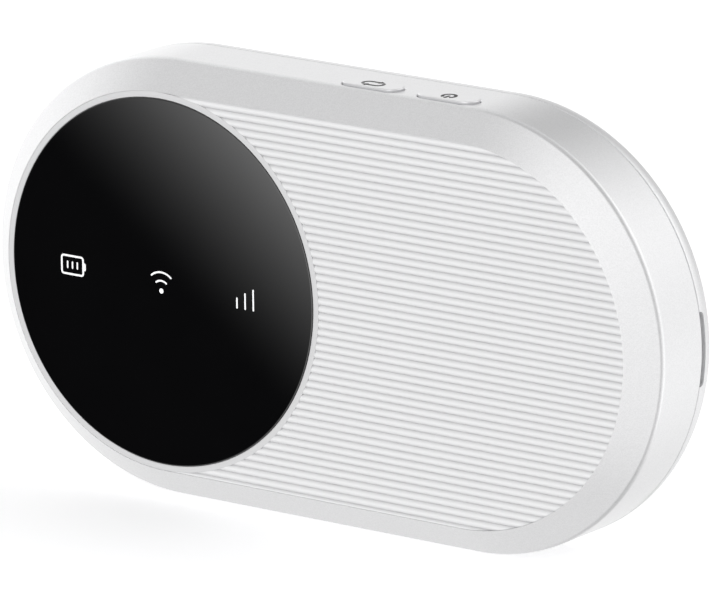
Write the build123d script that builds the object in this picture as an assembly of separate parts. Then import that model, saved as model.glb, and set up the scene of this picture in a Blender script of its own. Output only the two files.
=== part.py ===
from build123d import *
from math import atan2, pi, sqrt, tan
import os

# A pocket mobile hotspot. It stands on its long side: +X runs along its length, -Y is its front,
# +Z is up. The origin is at the middle of its foot, halfway through its depth. All sizes are in mm.

# ---- The case's overall size
LENGTH = 112.5
HEIGHT = 62.0
DEPTH = 18.0
END_RADIUS = HEIGHT / 2
END_OFFSET = (LENGTH - HEIGHT) / 2
MIDDLE = HEIGHT / 2
FRONT = -DEPTH / 2
REAR = DEPTH / 2

# ---- Front: a wide bevel round an inset panel, with a round lens at its left end
LENS_PROUD = 0.15
LENS_THICKNESS = 1.0
LENS_EDGE = 0.2
LENS_GAP = 0.05
LAND_WIDTH = 0.8
TAPE_THICKNESS = 0.15
TAPE_INSET = 0.45
PANEL_THICKNESS = 1.6
PANEL_GAP = 0.05
RIM_EDGE = 0.1
RIM_PROUD = 0.12
BEVEL_WIDTH = 4.15
BEVEL_DEPTH = 3.55
EDGE_ROUND = 1.5
RIB_COUNT = 49
RIB_HEIGHT = 0.33

RIM_RADIUS = END_RADIUS - BEVEL_WIDTH
PANEL_RADIUS = RIM_RADIUS - PANEL_GAP
PANEL_CREST = FRONT + LENS_PROUD
PANEL_REAR = PANEL_CREST + PANEL_THICKNESS
LENS_X = -END_OFFSET
LENS_RADIUS = PANEL_RADIUS - LAND_WIDTH - LENS_GAP
LENS_REAR = FRONT + LENS_THICKNESS
TAPE_REAR = LENS_REAR + TAPE_THICKNESS

# ---- Walls of the front shell and the rear cover
SHELL_WALL = 1.6
FRONT_WALL = 1.25
COVER_WALL = 1.5
COVER_STEP = 0.03
SEAM = 3.55
SEAM_GAP = 0.1
SEAM_EDGE = 0.12
LIP_THICKNESS = 0.8
TONGUE_LENGTH = 1.1
TONGUE_GAP = 0.05
COVER_ROUND_WIDTH = 6.7
COVER_STRAIGHT = 0.45
NOTCH_LENGTH = 10.4
NOTCH_WIDTH = 0.75
NOTCH_DEPTH = 1.0
NOTCH_ROUND = 0.6

RIM_FRONT = PANEL_CREST - RIM_PROUD
FRONT_INSIDE = PANEL_REAR + FRONT_WALL
SHELL_INSIDE = END_RADIUS - SHELL_WALL
COVER_OUTSIDE = END_RADIUS - COVER_STEP
COVER_INSIDE = COVER_OUTSIDE - COVER_WALL
COVER_CEILING = REAR - COVER_WALL
COVER_FRONT = SEAM + SEAM_GAP
COVER_TURN = COVER_FRONT + COVER_STRAIGHT
TONGUE_OUTSIDE = END_RADIUS - LIP_THICKNESS - TONGUE_GAP
TONGUE_END = SEAM - TONGUE_LENGTH

# ---- Keys in the top side: the pairing key, then the power key
KEY_LENGTH = 9.6
KEY_WIDTH = 3.5
KEY_SPACE = 3.05
KEY_END_GAP = 0.6
KEY_Y = -3.3
KEY_PROUD = 0.35
KEY_GAP = 0.1
KEY_EDGE = 0.25
KEY_TRAVEL = 0.4
KEY_WING = 1.1
KEY_WING_WIDTH = 2.4
KEY_WING_THICKNESS = 0.9
KEY_STEM_RADIUS = 0.6
POWER_X = END_OFFSET - KEY_END_GAP - KEY_LENGTH / 2
PAIRING_X = POWER_X - KEY_LENGTH - KEY_SPACE

# ---- Main board, the chassis behind it, and the screws that hold both
BOARD_THICKNESS = 0.8
BOARD_FRONT = -1.4
BOARD_REAR = BOARD_FRONT + BOARD_THICKNESS
BOARD_RADIUS = SHELL_INSIDE - 1.8
CHASSIS_GAP = 0.8
CHASSIS_FLOOR = 0.8
CHASSIS_RIM = 1.0
CHASSIS_RIM_HEIGHT = 2.2
CHASSIS_FRONT = BOARD_REAR + CHASSIS_GAP
CHASSIS_REAR = CHASSIS_FRONT + CHASSIS_FLOOR
CHASSIS_RADIUS = SHELL_INSIDE - 0.8

SCREW_RADIUS = 0.75
SCREW_LENGTH = 5.0
SCREW_HEAD_RADIUS = 1.4
SCREW_HEAD = 0.85
SCREW_SLOT = 0.3
SCREW_CLEARANCE = 0.15
THREAD_CLEARANCE = 0.04
BOSS_RADIUS = 2.0
SCREW_RING = SHELL_INSIDE - 3.8
SCREW_ANGLE = 50

# ---- Battery, in a well on the chassis: it fills the room that the rim and the cover leave
BATTERY_ROUND = 1.5
BATTERY_EDGE = 0.4
BATTERY_GAP = 0.3
BATTERY_LIFT = 0.1
WELL_WALL = 0.9
WELL_HEIGHT = 3.4
WELL_MARGIN = 3.4
WELL_END_MARGIN = 1.3
WELL_LEFT = 1.25
FINGER_NOTCH = 16.0
PAD_THICKNESS = 0.35
PAD_GAP = 0.05
RIM_INSIDE = CHASSIS_RADIUS - CHASSIS_RIM
WELL_HALF_HEIGHT = RIM_INSIDE - WELL_MARGIN
BATTERY_HEIGHT = 2 * (WELL_HALF_HEIGHT - WELL_WALL - BATTERY_GAP)
WELL_RIGHT = END_OFFSET + sqrt(RIM_INSIDE**2 - WELL_HALF_HEIGHT**2) - WELL_END_MARGIN
BATTERY_LEFT = -END_OFFSET + WELL_LEFT
BATTERY_LENGTH = WELL_RIGHT - WELL_WALL - BATTERY_GAP - BATTERY_LEFT
BATTERY_X = BATTERY_LEFT + BATTERY_LENGTH / 2
BATTERY_FRONT = CHASSIS_REAR + BATTERY_LIFT
BATTERY_REAR = COVER_CEILING - PAD_THICKNESS - PAD_GAP
CONTACT_COUNT = 4
CONTACT_PITCH = 2.4
CONTACT_WIDTH = 1.2
CONTACT_THICKNESS = 0.1
CONTACT_HEIGHT = 2.6
SPRING_RADIUS = 1.0
LEAF_SIDES = 8
SPRING_THICKNESS = 0.15
SPRING_GAP = 0.08
CONNECTOR_LENGTH = 3.6
CONNECTOR_HEIGHT = 3.2
CONNECTOR_GAP = 0.1
PAD_LENGTH = 40.0
PAD_WIDTH = 8.0
PAD_SPACING = 26.0

# ---- USB-C port, whose mouth faces down
PORT_X = 0.0
PORT_Y = -1.6
PORT_WIDTH = 8.94
PORT_THICKNESS = 3.26
PORT_LENGTH = 7.35
PORT_WALL = 0.3
PORT_RECESS = 0.6
PORT_CLEARANCE = 0.2
TONGUE_BOARD_WIDTH = 6.7
TONGUE_BOARD_THICKNESS = 0.7
PORT_BLOCK = 1.4
PORT_FIT = 0.03
PORT_INNER_END = PORT_RECESS + PORT_LENGTH

# ---- SIM card, its socket, and the bay that opens onto them
CARD_WIDTH = 8.8
CARD_LENGTH = 12.3
CARD_THICKNESS = 0.67
CARD_CORNER = 1.65
CARD_GAP = 0.08
CARD_X = LENS_X - 15.75
CARD_LOW = MIDDLE - 11.2
CARD_TRAVEL = 9.0
SOCKET_WALL = 1.3
SOCKET_BASE = 0.35
SOCKET_TOP = 0.2
SOCKET_LENGTH = 12.5
SOCKET_THUMB_CUT = 3.2
BAY_MARGIN = 0.4
BAY_HEADROOM = 3.2
CARD_FRONT = BOARD_REAR + SOCKET_BASE + CARD_GAP

# ---- Lights behind the lens
SIGN_PITCH = 15.0
LIGHT_WINDOW = (38.0, 7.0)
SHIELD_BORDER = 1.2
SHIELD_CLEARANCE = 0.2
CELL_SIZE = (8.0, 6.0)
LED_SIZE = (1.6, 0.6, 0.8)
DIFFUSER_GAP = 0.1
SIGN_XS = [LENS_X - SIGN_PITCH, LENS_X, LENS_X + SIGN_PITCH]

# ---- Chips and cans on the board's front: middle x, middle z, length, height, thickness
MODEM_PLACE = (14.0, MIDDLE + 5.0)
MODEM_SIZE = (13.0, 13.0, 1.0)
MODEM_CAN_SIZE = (24.0, 20.0, 1.8)
WIFI_PLACE = (38.0, MIDDLE + 2.0)
WIFI_SIZE = (7.0, 7.0, 0.9)
WIFI_CAN_SIZE = (15.0, 14.0, 1.6)
POWER_CHIP_PLACE = (16.0, MIDDLE - 14.0)
POWER_CHIP_SIZE = (5.0, 5.0, 0.8)
MEMORY_PLACE = (31.0, MIDDLE - 14.0)
MEMORY_SIZE = (9.0, 11.0, 1.0)
CAN_WALL = 0.2
SPREADER_INSET = 1.0
SPREADER_THICKNESS = 0.3

# ---- Switches: side-pressed for the keys, and one pressed from the rear for the reset
SWITCH_SIZE = (6.0, 3.0, 3.6)
SWITCH_TOP = MIDDLE + SHELL_INSIDE - 4.9
PLUNGER_WIDTH = 2.6
PLUNGER_THICKNESS = 1.2
PLUNGER_HEIGHT = 1.9
PLUNGER_PROUD = 0.8
PLUNGER_FIT = 0.05
RESET_PLACE = (LENS_X - 5.75, MIDDLE - 15.0)
RESET_SIZE = (3.0, 3.0, 0.7)
RESET_RADIUS = 0.6
RESET_LENGTH = 0.5
RESET_PROUD = 0.25
RESET_HOLE_RADIUS = 0.9

# ---- Antennas: metal strips on the chassis's rim, each with a spring clip on the board
ANTENNA_THICKNESS = 0.15
ANTENNA_GAP = 0.05
ANTENNA_WIDTH = 1.8
ANTENNA_REACH = 14.0
WIFI_ANTENNA_LENGTH = 20.0
WIFI_UPPER_X = -14.0
WIFI_LOWER_X = 16.0
CLIP_RADIUS = 0.38
CLIP_THICKNESS = 0.12
CLIP_WIDTH = 1.4
CLIP_INSET = 1.4

# Sections of the case are drawn as (distance from the midline, depth) and stand on this plane.
SECTION = Plane(origin=(0, 0, 0), x_dir=(0, 0, 1), z_dir=(-1, 0, 0))


def facing(sketch, front, rear, x=0.0, z=MIDDLE):
    """Thicken a sketch, drawn as seen from the front, between two depths."""
    return Pos(x, rear, z) * Rot(90, 0, 0) * extrude(sketch, rear - front)


def upright(sketch, low, high, x=0.0, y=0.0):
    """Thicken a sketch, drawn as seen from above, between two heights."""
    return Pos(x, y, low) * extrude(sketch, high - low)


def plate(radius, front, rear):
    """A plate of the case's outline, drawn in to this end radius."""
    return facing(SlotCenterToCenter(2 * END_OFFSET, 2 * radius), front, rear)


def block(x, y, z):
    """A box between two places along each axis."""
    size = [ends[1] - ends[0] for ends in (x, y, z)]
    middle = [(ends[0] + ends[1]) / 2 for ends in (x, y, z)]
    return Pos(*middle) * Box(*size)


def on_board(place, size, base=BOARD_FRONT):
    """A box that stands on the board's front, with its place and size seen from the front."""
    return facing(Rectangle(size[0], size[1]), base - size[2], base, place[0], place[1])


def around_outline(face):
    """Carry a section round the case: along both straights and round both ends."""
    face = Pos(END_OFFSET, 0, 0) * (SECTION * face)
    straight = extrude(face, 2 * END_OFFSET)
    end = revolve(face, Axis((END_OFFSET, 0, 0), (0, 1, 0)), 180)
    half = straight + end
    return Pos(0, 0, MIDDLE) * (half + Rot(0, 180, 0) * half)


def edges_at(solid, depth):
    """The edges that lie flat at this depth."""
    return solid.edges().filter_by_position(Axis.Y, depth - 0.001, depth + 0.001)


def corner_at(sketch, place):
    """The corner of a section at this place."""
    return sketch.vertices().sort_by_distance(Vector(*place))[0]


def leaf(radius, thickness):
    """A bent spring leaf, as a faceted loop."""
    return RegularPolygon(radius, LEAF_SIDES) - RegularPolygon(radius - thickness, LEAF_SIDES)


def screw_places():
    """The screws' places, seen from the front: two on each end."""
    ring = Vector(SCREW_RING, 0).rotate(Axis.Z, SCREW_ANGLE)
    return [(side * (END_OFFSET + ring.X), MIDDLE + turn * ring.Y)
            for side in (-1, 1) for turn in (-1, 1)]


def at_screws(radius, front, rear):
    """A round pin or hole at every screw."""
    return [facing(Circle(radius), front, rear, x, z) for x, z in screw_places()]


def make_front_shell():
    """The bevelled front housing, hollow behind, with a pocket in front for the panel."""
    # The inside of the wall is its outside moved in by its thickness, bevel included.
    half_turn = (pi / 2 - atan2(BEVEL_DEPTH, BEVEL_WIDTH)) / 2
    inner_corner = RIM_FRONT + BEVEL_DEPTH + SHELL_WALL * tan(half_turn)
    inner_width = (inner_corner - FRONT_INSIDE) * BEVEL_WIDTH / BEVEL_DEPTH
    rim_tip = (RIM_RADIUS, RIM_FRONT)
    bevel_edge = (END_RADIUS, RIM_FRONT + BEVEL_DEPTH)
    seam_edge = (END_RADIUS, SEAM)
    core = SHELL_INSIDE - inner_width - BEVEL_WIDTH
    wall = Sketch() + make_face(Polyline(
        (core, PANEL_REAR), (RIM_RADIUS, PANEL_REAR), rim_tip, bevel_edge, seam_edge,
        (END_RADIUS - LIP_THICKNESS, SEAM), (END_RADIUS - LIP_THICKNESS, TONGUE_END),
        (SHELL_INSIDE, TONGUE_END), (SHELL_INSIDE, inner_corner),
        (SHELL_INSIDE - inner_width, FRONT_INSIDE), (core, FRONT_INSIDE), close=True))
    wall = chamfer(corner_at(wall, rim_tip), RIM_EDGE)
    wall = chamfer(corner_at(wall, seam_edge), SEAM_EDGE)
    wall = fillet(corner_at(wall, bevel_edge), EDGE_ROUND)
    shell = around_outline(wall) + plate(core, PANEL_REAR, FRONT_INSIDE)
    opening = [size + 2 * (SHIELD_BORDER + SHIELD_CLEARANCE) for size in LIGHT_WINDOW]
    shell -= facing(Rectangle(*opening), PANEL_REAR, FRONT_INSIDE, LENS_X)

    for boss in at_screws(BOSS_RADIUS, FRONT_INSIDE, BOARD_FRONT):
        shell += boss
    tip = CHASSIS_REAR - SCREW_LENGTH - 2 * SCREW_CLEARANCE
    shell -= at_screws(SCREW_RADIUS + THREAD_CLEARANCE, tip, BOARD_FRONT)

    hole = SlotOverall(KEY_LENGTH + 2 * KEY_GAP, KEY_WIDTH + 2 * KEY_GAP)
    for x in (PAIRING_X, POWER_X):
        shell -= upright(hole, HEIGHT - 2 * SHELL_WALL, HEIGHT, x, KEY_Y)
    mouth = SlotOverall(PORT_WIDTH + 2 * PORT_CLEARANCE, PORT_THICKNESS + 2 * PORT_CLEARANCE)
    shell -= upright(mouth, 0, 2 * SHELL_WALL, PORT_X, PORT_Y)
    return shell


def make_ribbed_panel():
    """The inset front panel: rounded ribs, and a smooth land with the lens's pocket in it."""
    pitch = 2 * PANEL_RADIUS / RIB_COUNT
    groove = PANEL_CREST + RIB_HEIGHT
    line = []
    for rib in range(RIB_COUNT):
        start = -PANEL_RADIUS + rib * pitch
        ends = (start, groove), (start + pitch / 2, PANEL_CREST), (start + pitch, groove)
        line.append(ThreePointArc(*ends))
    corners = [(side * PANEL_RADIUS, depth) for side, depth in
               ((1, groove), (1, PANEL_REAR), (-1, PANEL_REAR), (-1, groove))]
    line.append(Polyline(*corners))
    profile = SECTION * make_face(Curve() + line)

    ribs = Pos(END_OFFSET + PANEL_RADIUS, 0, MIDDLE) * extrude(profile, LENGTH)
    ribs = ribs & plate(PANEL_RADIUS, PANEL_CREST, PANEL_REAR)
    land = facing(Circle(PANEL_RADIUS), PANEL_CREST, PANEL_REAR, LENS_X)
    panel = ribs - block((-LENGTH, LENS_X), (FRONT, REAR), (0, HEIGHT)) + land
    panel -= facing(Circle(LENS_RADIUS + LENS_GAP), FRONT, TAPE_REAR, LENS_X)
    panel -= facing(Rectangle(*LIGHT_WINDOW), TAPE_REAR, PANEL_REAR, LENS_X)
    return panel


def make_display():
    """The lens, the tape that holds it, and the milky film behind its signs."""
    lens = facing(Circle(LENS_RADIUS), FRONT, LENS_REAR, LENS_X)
    lens = chamfer(edges_at(lens, FRONT), LENS_EDGE)
    tape = facing(Circle(LENS_RADIUS - TAPE_INSET), LENS_REAR, TAPE_REAR, LENS_X)
    tape -= facing(Rectangle(*LIGHT_WINDOW), LENS_REAR, TAPE_REAR, LENS_X)
    film = [size - 2 * DIFFUSER_GAP for size in LIGHT_WINDOW]
    film = facing(Rectangle(*film), LENS_REAR, TAPE_REAR, LENS_X)
    return {"display_lens": lens, "lens_adhesive": tape, "light_diffuser": film}


def make_lights():
    """The block of three cells that keeps the lights apart, and the lights."""
    outline = [size + 2 * SHIELD_BORDER for size in LIGHT_WINDOW]
    shield = facing(Rectangle(*outline), PANEL_REAR, BOARD_FRONT, LENS_X)
    lights = []
    for x in SIGN_XS:
        shield -= facing(Rectangle(*CELL_SIZE), PANEL_REAR, BOARD_FRONT, x)
        lights.append(on_board((x, MIDDLE), LED_SIZE[0::2] + LED_SIZE[1:2]))
    return {"light_shield": shield, "status_leds": lights}


def make_rear_cover():
    """The removable cover: straight at the seam, then a wide soft edge into a flat back."""
    flat = COVER_OUTSIDE - COVER_ROUND_WIDTH
    core = flat - COVER_WALL
    inner_width = COVER_ROUND_WIDTH - COVER_WALL
    inner_run = COVER_CEILING - COVER_TURN
    quarter = (flat, COVER_TURN)
    line = [
        Line((COVER_OUTSIDE, COVER_FRONT), (COVER_OUTSIDE, COVER_TURN)),
        EllipticalCenterArc(quarter, COVER_ROUND_WIDTH, REAR - COVER_TURN, arc_size=90),
        Polyline((flat, REAR), (core, REAR), (core, COVER_CEILING), (flat, COVER_CEILING),
                 (flat + inner_width * sqrt(0.5), COVER_TURN + inner_run * sqrt(0.5)),
                 (COVER_INSIDE, COVER_TURN), (COVER_INSIDE, COVER_FRONT),
                 (COVER_OUTSIDE, COVER_FRONT)),
    ]
    section = Sketch() + make_face(Curve() + line)
    section = chamfer(corner_at(section, (COVER_OUTSIDE, COVER_FRONT)), SEAM_EDGE)
    cover = around_outline(section)
    cover += plate(core, COVER_CEILING, REAR)
    tongue = plate(TONGUE_OUTSIDE, TONGUE_END, COVER_TURN)
    cover += tongue - plate(COVER_INSIDE, TONGUE_END, COVER_TURN)

    notch_z = (MIDDLE - NOTCH_LENGTH / 2, MIDDLE + NOTCH_LENGTH / 2)
    notch = block((0, LENGTH), (COVER_FRONT, COVER_FRONT + NOTCH_WIDTH), notch_z)
    rear_corners = notch.edges().filter_by(Axis.X).group_by(Axis.Y)[-1]
    notch = fillet(rear_corners, NOTCH_ROUND)
    return cover - (notch - plate(END_RADIUS - NOTCH_DEPTH, FRONT, REAR))


def make_key(x):
    """A key: an obround cap, wings that stop it from falling out, and a stem to its switch."""
    root = MIDDLE + SHELL_INSIDE - KEY_GAP
    cap = upright(SlotOverall(KEY_LENGTH, KEY_WIDTH), root, HEIGHT + KEY_PROUD, x, KEY_Y)
    cap = chamfer(cap.edges().group_by(Axis.Z)[-1], KEY_EDGE)
    wings = Rectangle(KEY_LENGTH + 2 * KEY_WING, KEY_WING_WIDTH)
    cap += upright(wings, root - KEY_WING_THICKNESS, root, x, KEY_Y)
    stem_foot = SWITCH_TOP + PLUNGER_PROUD
    return cap + upright(Circle(KEY_STEM_RADIUS), stem_foot, root, x, KEY_Y)


def make_key_switch(x):
    """A side-pressed switch on the board's front, and the plunger that its key pushes."""
    width, thickness, height = SWITCH_SIZE
    switch_x = (x - width / 2, x + width / 2)
    body = block(switch_x, (BOARD_FRONT - thickness, BOARD_FRONT), (SWITCH_TOP - height, SWITCH_TOP))
    slot = Rectangle(PLUNGER_WIDTH + 2 * PLUNGER_FIT, PLUNGER_THICKNESS + 2 * PLUNGER_FIT)
    foot = SWITCH_TOP + PLUNGER_PROUD - PLUNGER_HEIGHT
    body -= upright(slot, foot - KEY_TRAVEL - PLUNGER_FIT, SWITCH_TOP, x, KEY_Y)
    plunger = Rectangle(PLUNGER_WIDTH, PLUNGER_THICKNESS)
    return body, upright(plunger, foot, SWITCH_TOP + PLUNGER_PROUD, x, KEY_Y)


def make_reset():
    """The reset switch on the board's rear, and its round plunger, pressed towards the front."""
    x, z = RESET_PLACE
    width, height, thickness = RESET_SIZE
    body = facing(Rectangle(width, height), BOARD_REAR, BOARD_REAR + thickness, x, z)
    tip = BOARD_REAR + thickness + RESET_PROUD
    pocket = Circle(RESET_RADIUS + PLUNGER_FIT)
    body -= facing(pocket, tip - RESET_LENGTH - RESET_PROUD, tip, x, z)
    return body, facing(Circle(RESET_RADIUS), tip - RESET_LENGTH, tip, x, z)


def make_main_board():
    """The main board: the case's outline, holes for the screws and a notch for the port."""
    board = plate(BOARD_RADIUS, BOARD_FRONT, BOARD_REAR)
    board -= at_screws(SCREW_RADIUS + SCREW_CLEARANCE, BOARD_FRONT, BOARD_REAR)
    half = PORT_WIDTH / 2 + PORT_CLEARANCE
    notch_z = (0, PORT_INNER_END + PORT_CLEARANCE)
    return board - block((PORT_X - half, PORT_X + half), (FRONT, REAR), notch_z)


def make_can(place, size):
    """A pressed can over a chip, open towards the board."""
    can = on_board(place, size)
    inside = (size[0] - 2 * CAN_WALL, size[1] - 2 * CAN_WALL, size[2] - CAN_WALL)
    return can - on_board(place, inside)


def make_chips():
    """The chips, the cans over the two radio chips, and the sheet that spreads their heat."""
    spread = [side - 2 * SPREADER_INSET for side in MODEM_CAN_SIZE[:2]] + [SPREADER_THICKNESS]
    can_top = BOARD_FRONT - MODEM_CAN_SIZE[2]
    return {
        "modem_chip": on_board(MODEM_PLACE, MODEM_SIZE),
        "modem_shield": make_can(MODEM_PLACE, MODEM_CAN_SIZE),
        "heat_spreader": on_board(MODEM_PLACE, spread, can_top),
        "wifi_chip": on_board(WIFI_PLACE, WIFI_SIZE),
        "wifi_shield": make_can(WIFI_PLACE, WIFI_CAN_SIZE),
        "power_chip": on_board(POWER_CHIP_PLACE, POWER_CHIP_SIZE),
        "memory_chip": on_board(MEMORY_PLACE, MEMORY_SIZE),
    }


def make_port():
    """The USB-C receptacle: a rolled tube, and the tongue on its plastic block."""
    outside = SlotOverall(PORT_WIDTH, PORT_THICKNESS)
    inside = SlotOverall(PORT_WIDTH - 2 * PORT_WALL, PORT_THICKNESS - 2 * PORT_WALL)
    tube = upright(outside - inside, PORT_RECESS, PORT_INNER_END, PORT_X, PORT_Y)
    shrink = 2 * (PORT_WALL + PORT_FIT)
    block_outline = SlotOverall(PORT_WIDTH - shrink, PORT_THICKNESS - shrink)
    block_foot = PORT_INNER_END - PORT_BLOCK
    tongue = upright(block_outline, block_foot, PORT_INNER_END, PORT_X, PORT_Y)
    blade = Rectangle(TONGUE_BOARD_WIDTH, TONGUE_BOARD_THICKNESS)
    tongue += upright(blade, 2 * PORT_RECESS, block_foot, PORT_X, PORT_Y)
    return {"usb_shell": tube, "usb_tongue": tongue}


def well_box(margin, front, rear):
    """The battery's outline, grown by a margin, between two depths."""
    half_x = BATTERY_LENGTH / 2 + margin
    half_z = BATTERY_HEIGHT / 2 + margin
    return block((BATTERY_X - half_x, BATTERY_X + half_x), (front, rear),
                 (MIDDLE - half_z, MIDDLE + half_z))


def connector_box(margin, front, rear):
    """The battery connector's outline, grown by a margin, between two depths."""
    right = BATTERY_LEFT - CONTACT_THICKNESS - SPRING_GAP - SPRING_RADIUS / 2
    half_z = CONTACT_COUNT * CONTACT_PITCH / 2 + margin
    return block((right - CONNECTOR_LENGTH - margin, right + margin), (front, rear),
                 (MIDDLE - half_z, MIDDLE + half_z))


def make_mid_frame():
    """The chassis: a floor with a rim, the battery's well, and the card's window."""
    frame = plate(CHASSIS_RADIUS, CHASSIS_FRONT, CHASSIS_REAR + CHASSIS_RIM_HEIGHT)
    frame -= plate(RIM_INSIDE, CHASSIS_REAR, REAR)
    well_top = CHASSIS_REAR + WELL_HEIGHT
    well = well_box(BATTERY_GAP + WELL_WALL, CHASSIS_REAR, well_top)
    well -= well_box(BATTERY_GAP, CHASSIS_REAR, well_top)
    finger = (BATTERY_X - FINGER_NOTCH / 2, BATTERY_X + FINGER_NOTCH / 2)
    well -= block(finger, (CHASSIS_REAR, well_top), (MIDDLE, HEIGHT))
    frame += well
    for spacer in at_screws(BOSS_RADIUS, BOARD_REAR, CHASSIS_FRONT):
        frame += spacer
    frame -= at_screws(SCREW_RADIUS + SCREW_CLEARANCE, BOARD_REAR, CHASSIS_REAR)
    socket = connector_box(CONNECTOR_GAP, CHASSIS_FRONT, well_top)
    frame -= socket
    reach = socket.bounding_box()
    frame -= block((reach.max.X, BATTERY_LEFT), (CHASSIS_REAR, well_top), (reach.min.Z, reach.max.Z))
    half = CARD_WIDTH / 2 + SOCKET_WALL + BAY_MARGIN
    window_top = CARD_LOW + CARD_LENGTH + CARD_TRAVEL + BAY_HEADROOM
    frame -= block((CARD_X - half, CARD_X + half), (CHASSIS_FRONT, CHASSIS_REAR),
                   (CARD_LOW - SOCKET_WALL - BAY_MARGIN, window_top))
    return frame - facing(Circle(RESET_HOLE_RADIUS), CHASSIS_FRONT, CHASSIS_REAR, *RESET_PLACE)


def make_screws():
    """Pan-head screws, with crossed slots, put in from the rear."""
    screws = []
    for x, z in screw_places():
        head_top = CHASSIS_REAR + SCREW_HEAD
        screw = facing(Circle(SCREW_RADIUS), CHASSIS_REAR - SCREW_LENGTH, CHASSIS_REAR, x, z)
        screw += facing(Circle(SCREW_HEAD_RADIUS), CHASSIS_REAR, head_top, x, z)
        for length, width in ((SCREW_HEAD_RADIUS, SCREW_SLOT), (SCREW_SLOT, SCREW_HEAD_RADIUS)):
            screw -= facing(Rectangle(length, width), CHASSIS_REAR + SCREW_HEAD / 2, head_top, x, z)
        screws.append(screw)
    return screws


def make_battery():
    """The pack and its contact pads, the block and leaf springs that meet them."""
    pack = well_box(0, BATTERY_FRONT, BATTERY_REAR)
    pack = fillet(pack.edges().filter_by(Axis.Y), BATTERY_ROUND)
    flat_edges = edges_at(pack, BATTERY_FRONT) + edges_at(pack, BATTERY_REAR)
    pack = chamfer(flat_edges, BATTERY_EDGE)
    connector = connector_box(0, BOARD_REAR, CHASSIS_REAR + CONNECTOR_HEIGHT)
    springs = []
    pads = []
    pad_left = BATTERY_LEFT - CONTACT_THICKNESS
    spring_y = CHASSIS_REAR + CONNECTOR_HEIGHT / 2
    pad_y = (spring_y - CONTACT_HEIGHT / 2, spring_y + CONTACT_HEIGHT / 2)
    spring = leaf(SPRING_RADIUS, SPRING_THICKNESS)
    leaf_x = pad_left - SPRING_GAP - SPRING_RADIUS
    for place in range(CONTACT_COUNT):
        z = MIDDLE + (place - (CONTACT_COUNT - 1) / 2) * CONTACT_PITCH
        width = (z - CONTACT_WIDTH / 2, z + CONTACT_WIDTH / 2)
        springs.append(upright(spring, *width, leaf_x, spring_y))
        slot = Rectangle(2 * SPRING_RADIUS, 2 * SPRING_RADIUS)
        connector -= upright(slot, *width, leaf_x, spring_y)
        pads.append(block((pad_left, BATTERY_LEFT), pad_y, width))
    return {"battery_pack": pack, "battery_connector": connector,
            "battery_springs": springs, "battery_contacts": pads}


def make_battery_pads():
    """Two foam strips on the cover's ceiling that steady the pack."""
    strip = Rectangle(PAD_LENGTH, PAD_WIDTH)
    heights = (MIDDLE - PAD_SPACING / 2, MIDDLE + PAD_SPACING / 2)
    return [facing(strip, COVER_CEILING - PAD_THICKNESS, COVER_CEILING, BATTERY_X, z)
            for z in heights]


def make_sim():
    """The SIM socket, open at its top end, and the card in it."""
    card_rear = CARD_FRONT + CARD_THICKNESS
    half = CARD_WIDTH / 2
    socket_low = CARD_LOW - SOCKET_WALL / 2
    socket_top = socket_low + SOCKET_LENGTH
    socket = block((CARD_X - half - SOCKET_WALL, CARD_X + half + SOCKET_WALL),
                   (BOARD_REAR, card_rear + CARD_GAP + SOCKET_TOP), (socket_low, socket_top))
    socket -= block((CARD_X - half - CARD_GAP, CARD_X + half + CARD_GAP),
                    (CARD_FRONT - CARD_GAP, card_rear + CARD_GAP), (CARD_LOW - CARD_GAP, HEIGHT))
    socket -= facing(Circle(SOCKET_THUMB_CUT), card_rear + CARD_GAP, REAR, CARD_X, socket_top)
    card = block((CARD_X - half, CARD_X + half), (CARD_FRONT, card_rear),
                 (CARD_LOW, CARD_LOW + CARD_LENGTH))
    corner = card.edges().filter_by(Axis.Y).group_by(Axis.Z)[0].sort_by(Axis.X)[-1]
    return {"sim_socket": socket, "sim_card": chamfer(corner, CARD_CORNER)}


def make_antennas():
    """Metal strips on the outside of the chassis's rim, and their clips on the board."""
    inner = CHASSIS_RADIUS + ANTENNA_GAP
    outer = inner + ANTENNA_THICKNESS
    rear = CHASSIS_REAR + CHASSIS_RIM_HEIGHT
    band = plate(outer, rear - ANTENNA_WIDTH, rear) - plate(inner, rear - ANTENNA_WIDTH, rear)
    reach = END_OFFSET + outer - ANTENNA_REACH
    half = WIFI_ANTENNA_LENGTH / 2
    upper_x = (WIFI_UPPER_X - half, WIFI_UPPER_X + half)
    lower_x = (WIFI_LOWER_X - half, WIFI_LOWER_X + half)
    antennas = {
        "main_antenna": band & block((reach, LENGTH), (FRONT, REAR), (0, HEIGHT)),
        "diversity_antenna": band & block((-LENGTH, -reach), (FRONT, REAR), (0, HEIGHT)),
        "wifi_antenna_upper": band & block(upper_x, (FRONT, REAR), (MIDDLE, HEIGHT)),
        "wifi_antenna_lower": band & block(lower_x, (FRONT, REAR), (0, MIDDLE)),
    }
    ring = BOARD_RADIUS - CLIP_INSET
    places = [(END_OFFSET + ring, MIDDLE), (-END_OFFSET - ring, MIDDLE),
              (WIFI_UPPER_X, MIDDLE + ring), (WIFI_LOWER_X, MIDDLE - ring)]
    clip = leaf(CLIP_RADIUS, CLIP_THICKNESS)
    half = CLIP_WIDTH / 2
    antennas["antenna_clips"] = [upright(clip, z - half, z + half, x, BOARD_REAR + CLIP_RADIUS)
                                 for x, z in places]
    return antennas


def save(name, shape):
    """Write one piece, or a group of like pieces, to its own file."""
    solids = []
    for member in shape if isinstance(shape, list) else [shape]:
        solids += member.solids()
    export_step(solids[0] if len(solids) == 1 else Compound(children=solids), f"parts/{name}.step")


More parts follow.
